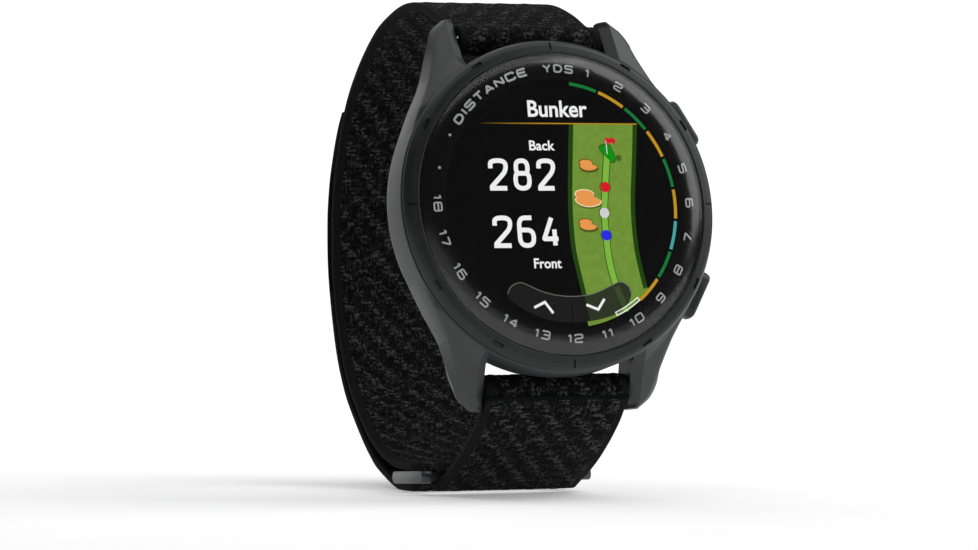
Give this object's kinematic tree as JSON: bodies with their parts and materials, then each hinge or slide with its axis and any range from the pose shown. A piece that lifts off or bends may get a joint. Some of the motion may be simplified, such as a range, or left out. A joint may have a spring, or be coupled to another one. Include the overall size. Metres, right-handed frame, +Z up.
{
  "type": "golf gps watch",
  "caption": "Round golf gps watch: domed lens in a ticked bezel, lugged case, two side buttons and a woven hook-and-loop strap closed through a metal ring.",
  "frame": {"origin": "middle of the flat on the underside of the closed strap, where the watch rests on a table", "axes": "+Z up along the standing loop, +X towards 3 o'clock, -Y the way the face looks; the face leans back 10.95 degrees"},
  "size_m": [0.0431, 0.0616, 0.0645],
  "materials": {
    "case_resin": "fine matte grey resin",
    "bezel_metal": "dark slate anodised, satin",
    "lens_glass": "polished glass over a black print",
    "black_film": "black print",
    "screen": "lit colour display",
    "frame_plastic": "black moulded plastic",
    "gold": "gold plated",
    "battery_foil": "foil pouch",
    "steel": "bright steel",
    "circuit_board": "green solder mask",
    "rubber": "soft black rubber",
    "woven_strap": "black woven nylon, diagonal twill",
    "hook_tape": "hook tape",
    "ring_metal": "grey satin coating"
  },
  "bodies": {
    "watch": {"bezel_ring": "bezel_metal", "cover_lens": "lens_glass", "lens_mask": "black_film", "display_panel": "screen", "mid_frame": "frame_plastic", "gps_antenna": "gold", "battery": "battery_foil", "vibration_motor": "steel", "main_board": "circuit_board", "board_shield": "steel", "case_body": "case_resin", "back_cover": "frame_plastic", "back_gasket": "rubber", "sensor_window": "lens_glass", "sensor_board": "circuit_board", "charge_socket": "black_film", "charge_pin_1": "gold", "back_screw_1": "steel", "charge_pin_2": "gold", "back_screw_2": "steel", "charge_pin_3": "gold", "back_screw_3": "steel", "charge_pin_4": "gold", "back_screw_4": "steel", "button_seal_upper": "rubber", "side_switch_upper": "frame_plastic", "upper_bar_tube": "steel", "upper_bar_spring": "steel", "upper_bar_plain_pin": "steel", "button_seal_lower": "rubber", "side_switch_lower": "frame_plastic", "lower_bar_tube": "steel", "lower_bar_spring": "steel", "lower_bar_plain_pin": "steel", "strap_long": "woven_strap", "strap_short": "woven_strap", "strap_ring": "ring_metal"},
    "upper_button": {"button_upper": "bezel_metal", "button_clip_upper": "steel"},
    "lower_button": {"button_lower": "bezel_metal", "button_clip_lower": "steel"},
    "upper_release": {"upper_bar_release_pin": "steel"},
    "lower_release": {"lower_bar_release_pin": "steel"},
    "free_end": {"strap_tail": "woven_strap", "hook_patch": "hook_tape"}
  },
  "joints": [
    {"name": "button_upper_press", "type": "slide", "parent": "watch", "child": "upper_button", "axis": [-0.866, -0.095, -0.4909], "range_m": [0, 0.0005], "stiffness_N_per_m": 1000, "springref_m": -0.0005},
    {"name": "button_lower_press", "type": "slide", "parent": "watch", "child": "lower_button", "axis": [-0.866, 0.095, 0.4909], "range_m": [0, 0.0005], "stiffness_N_per_m": 1000, "springref_m": -0.0005},
    {"name": "upper_bar_release", "type": "slide", "parent": "watch", "child": "upper_release", "axis": [-1, 0, 0], "range_m": [0, 0.0013], "stiffness_N_per_m": 500, "springref_m": -0.001},
    {"name": "lower_bar_release", "type": "slide", "parent": "watch", "child": "lower_release", "axis": [-1, 0, 0], "range_m": [0, 0.0013], "stiffness_N_per_m": 500, "springref_m": -0.001},
    {"name": "free_end_peel", "type": "hinge", "parent": "watch", "child": "free_end", "pos_m": [0, 0.0121, 0.00385], "axis": [1, 0, 0], "range_deg": [-55, 0]}
  ]
}
